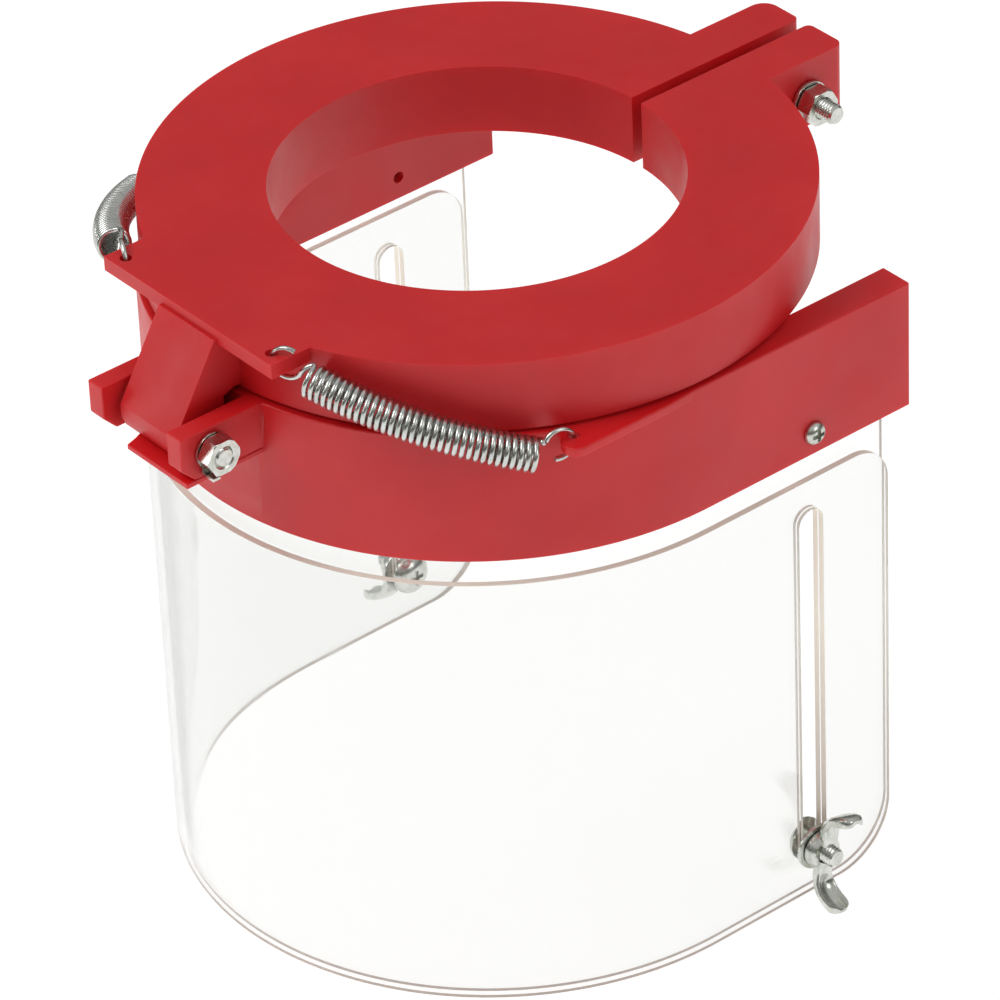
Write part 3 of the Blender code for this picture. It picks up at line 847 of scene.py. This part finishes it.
def hook(hole, to_coil, start, end, steps=40):
    """Points of a round hook that passes through a hole; angle 0 faces the coil, 180 is in the hole."""
    centre = hole + to_coil * HOOK_RADIUS
    angles = [math.radians(start + (end - start) * i / steps) for i in range(steps + 1)]
    return [centre + HOOK_RADIUS * (to_coil * math.cos(a) + Vector((0, 0, math.sin(a)))) for a in angles]


def level(vector):
    return Vector((vector.x, vector.y, 0)).normalized()


def blend_points(first, second, steps):
    """Points that ease from the end of one run of points to the start of the next."""
    p0, p3 = first[-1], second[0]
    reach = (p3 - p0).length * 0.5
    p1 = p0 + (first[-1] - first[-2]).normalized() * reach
    p2 = p3 - (second[1] - second[0]).normalized() * reach
    points = []
    for i in range(1, steps):
        t = i / steps
        s = 1 - t
        points.append(p0 * s ** 3 + p1 * 3 * s * s * t + p2 * 3 * s * t * t + p3 * t ** 3)
    return points


def spring_route(side):
    centre = spring_axis(side, COIL_TURNS[side] * COIL_STEPS + 1)
    coil = []
    for i, point in enumerate(centre):
        ahead = (centre[min(i + 1, len(centre) - 1)] - centre[max(i - 1, 0)]).normalized()
        across = ahead.cross(Vector((0, 0, 1))).normalized()
        above = across.cross(ahead)
        turn = 2 * math.pi * i / COIL_STEPS
        coil.append(point + COIL_RADIUS * (above * math.cos(turn) + across * math.sin(turn) * side))
    flange, lug = spring_holes(side)
    flange_hook = hook(flange, level(centre[0] - flange), -300, -25)
    lug_hook = hook(lug, level(centre[-1] - lug), 30, 288)
    start = blend_points(flange_hook, coil, 10)
    end = blend_points(coil, lug_hook, 10)
    return flange_hook + start + coil + end + lug_hook


def tube(route, radius, sides):
    rings = []
    normal = Vector((0, 0, 1))
    for i, point in enumerate(route):
        ahead = (route[min(i + 1, len(route) - 1)] - route[max(i - 1, 0)]).normalized()
        normal = (normal - ahead * normal.dot(ahead)).normalized()
        other = ahead.cross(normal)
        rings.append([point + radius * (normal * u + other * v) for u, v in circle(1.0, sides)])
    return skin(rings)


def spring(label, side):
    route = spring_route(side)
    part = smooth(solid(f"spring_{label}_fine", tube(route, WIRE_RADIUS, 10)), 60)
    part.data.materials.append(WIRE)
    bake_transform(part)
    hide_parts(f"spring_{label}")


# ---------------------------------------------------------------- stage
def floor():
    """A pale floor under the hanging guard, clear of the outer shield when it is slid right down."""
    g = Graph("floor")
    g.shader.inputs["Base Color"].default_value = (0.5, 0.5, 0.5, 1)
    g.shader.inputs["Roughness"].default_value = 0.9
    g.shader.inputs["Emission Color"].default_value = (1, 1, 1, 1)
    g.shader.inputs["Emission Strength"].default_value = 0.71
    low, high = -FLOOR_HALF, FLOOR_HALF
    height = OUTER_BOTTOM - FLOOR_DROP
    square = [(low, low), (high, low), (high, high), (low, high)]
    ground = solid("floor", prism(square, height - FLOOR_THICKNESS, height))
    ground.data.materials.append(g.material)


def area_light(name, where, target, size, power):
    data = bpy.data.lights.new(name, "AREA")
    data.shape = "DISK"
    data.size = size
    data.energy = power
    lamp = bpy.data.objects.new(name, data)
    lamp.location = where
    aim = Vector(target) - Vector(where)
    lamp.rotation_euler = aim.to_track_quat("-Z", "Y").to_euler()
    bpy.context.scene.collection.objects.link(lamp)


def world():
    """Soft room light, brighter overhead than at the horizon."""
    sky = bpy.data.worlds.new("studio")
    sky.use_nodes = True
    bpy.context.scene.world = sky
    tree = sky.node_tree
    background = tree.nodes["Background"]
    where = tree.nodes.new("ShaderNodeTexCoord")
    split = tree.nodes.new("ShaderNodeSeparateXYZ")
    ramp = tree.nodes.new("ShaderNodeValToRGB")
    tree.links.new(where.outputs["Generated"], split.inputs["Vector"])
    tree.links.new(split.outputs["Z"], ramp.inputs["Fac"])
    tree.links.new(ramp.outputs["Color"], background.inputs["Color"])
    ramp.color_ramp.elements[0].position = 0.25
    ramp.color_ramp.elements[0].color = (0.10, 0.105, 0.085, 1)
    ramp.color_ramp.elements[1].position = 0.65
    ramp.color_ramp.elements[1].color = (0.55, 0.55, 0.55, 1)
    background.inputs["Strength"].default_value = 1.0


def camera():
    azimuth = math.radians(VIEW_AZIMUTH)
    elevation = math.radians(VIEW_ELEVATION)
    roll = math.radians(VIEW_ROLL)
    back = Vector((
        math.sin(azimuth) * math.cos(elevation),
        -math.cos(azimuth) * math.cos(elevation),
        math.sin(elevation),
    ))
    right = Vector((math.cos(azimuth), math.sin(azimuth), 0))
    up = back.cross(right)
    rolled_right = right * math.cos(roll) + up * math.sin(roll)
    rolled_up = up * math.cos(roll) - right * math.sin(roll)
    data = bpy.data.cameras.new("camera")
    data.sensor_width = 36
    data.lens = LENS
    data.clip_start = 0.05
    data.clip_end = 50
    eye = bpy.data.objects.new("camera", data)
    pose = Matrix((rolled_right, rolled_up, back)).transposed().to_4x4()
    pose.translation = (Vector(VIEW_TARGET) + back * VIEW_DISTANCE) * MM
    eye.matrix_world = pose
    bpy.context.scene.collection.objects.link(eye)
    bpy.context.scene.camera = eye


def build():
    clamp_collar()
    hinge_bracket()
    shield("inner_sheet", "inner_shield", "guard", INNER_SHIELD_RADIUS, INNER_TOP, INNER_BOTTOM, 0)
    outer_size = (OUTER_SHIELD_RADIUS, OUTER_TOP, OUTER_BOTTOM, OUTER_TOP_CORNER)
    shield("outer_sheet", "outer_shield", "shield", *outer_size)

    start = LUG_SIDE + FIT
    end = start + WASHER_THICKNESS
    washer("clamp_washer_nut_fine", "clamp_washer_nut", "clamp", start, end, WASHER_RADIUS, CLAMP_AXIS)
    washer("clamp_washer_head_fine", "clamp_washer_head", "clamp", -start, -end, WASHER_RADIUS, CLAMP_AXIS)
    hex_nut("clamp_nut_fine", "clamp_nut", "clamp", end + FIT, end + FIT + NUT_HEIGHT, CLAMP_AXIS)
    clamp_bolt()

    start = EAR_OUTER + FIT
    end = start + HINGE_WASHER_THICKNESS
    y, z = HINGE_AXIS
    near, far = (y + offset for offset in TAB_SIDES)
    outer, inner = (z + offset for offset in TAB_FACES)
    strip = [(near, outer + SETBACK), (far, outer + SETBACK), (far, inner + 1.5), (near, inner + 1.5)]
    bent = [(near, outer), (far, outer), (far, inner), (near, inner)]
    tab = [prism(strip, start + SETBACK, end - SETBACK, "X"), prism(bent, start + 2 * SETBACK, TAB_END, "X")]
    washer("hinge_washer_fine", "hinge_washer", "guard", start, end, HINGE_WASHER_RADIUS, HINGE_AXIS, tab)
    hex_nut("hinge_nut_fine", "hinge_nut", "guard", end + FIT, end + FIT + HINGE_NUT_HEIGHT, HINGE_AXIS)
    hinge_bolt()

    start = OUTER_SHIELD_RADIUS + FIT
    end = start + WASHER_THICKNESS
    for label, side in (("left", -1), ("right", 1)):
        leg_screw(label, side)
        slide_screw(label, side)
        axis_point = (SLOT_Y, SLIDE_SCREW_Z)
        name = f"slide_washer_{label}"
        low, high = beside(side, start), beside(side, end)
        washer(f"{name}_fine", name, "guard", low, high, SLIDE_WASHER_RADIUS, axis_point)
        wing_nut(label, side)
        spring(label, side)

    floor()
    world()
    area_light("key", (-0.6, -1.2, 1.6), (0, 0, -0.05), 1.2, 15)
    area_light("fill", (1.6, 0.4, 0.9), (0, 0, -0.1), 1.0, 5)
    area_light("front", (-1.25, -1.5, 0.34), (0, -0.11, -0.02), 0.45, 2.5)
    camera()
    bpy.context.scene.view_settings.view_transform = "Standard"


build()
